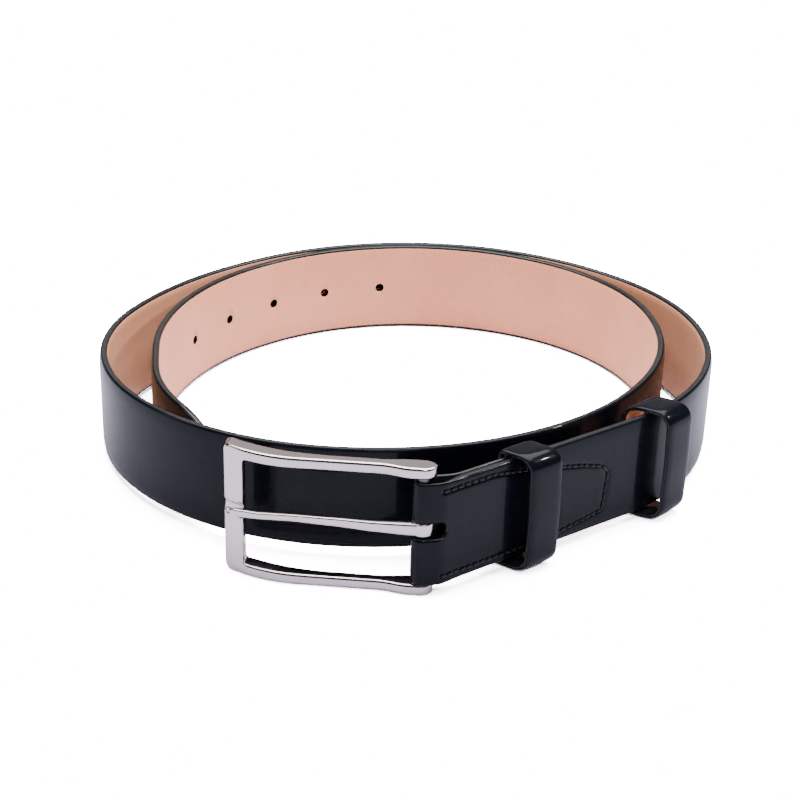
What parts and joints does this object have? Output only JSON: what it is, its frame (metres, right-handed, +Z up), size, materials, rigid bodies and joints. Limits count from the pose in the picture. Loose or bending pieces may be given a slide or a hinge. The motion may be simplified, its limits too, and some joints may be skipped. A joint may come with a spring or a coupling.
{
  "type": "leather dress belt",
  "caption": "Patent leather dress belt rolled up on its edge, with a rectangular prong buckle, a fixed keeper and a sliding keeper.",
  "frame": {"origin": "centre of the belt's footprint, on the surface it stands on", "axes": "+X to the right and +Y to the back as seen from the buckle's side, +Z up, across the strap's width"},
  "size_m": [0.214, 0.2116, 0.0437],
  "materials": {
    "patent_leather": "high-gloss black patent",
    "lining_leather": "smooth tan, matt",
    "filler": "bonded leather board",
    "thread": "black waxed thread",
    "buckle_metal": "polished nickel"
  },
  "bodies": {
    "strap": {"strap_outer_leather": "patent_leather", "strap_filler": "filler", "strap_lining": "lining_leather", "tab_stitching": "thread", "fixed_keeper_outer": "patent_leather", "fixed_keeper_lining": "lining_leather", "fixed_keeper_staple": "buckle_metal"},
    "buckle": {"buckle_frame": "buckle_metal", "heel_bar": "buckle_metal"},
    "prong": {"prong": "buckle_metal"},
    "free_keeper": {"free_keeper_outer": "patent_leather", "free_keeper_lining": "lining_leather", "free_keeper_staple": "buckle_metal"}
  },
  "joints": [
    {"name": "buckle_hinge", "type": "hinge", "parent": "strap", "child": "buckle", "pos_m": [0.00528, -0.10231, 0.0218], "axis": [0, 0, 1], "range_deg": [0, 95]},
    {"name": "prong_hinge", "type": "hinge", "parent": "buckle", "child": "prong", "pos_m": [0.00528, -0.10231, 0.0213], "axis": [0, 0, 1], "range_deg": [0, 42]},
    {"name": "keeper_slide", "type": "hinge", "parent": "strap", "child": "free_keeper", "pos_m": [0.01954, 0.0126, 0.02], "axis": [0, 0, 1], "range_deg": [-1, 12]}
  ]
}
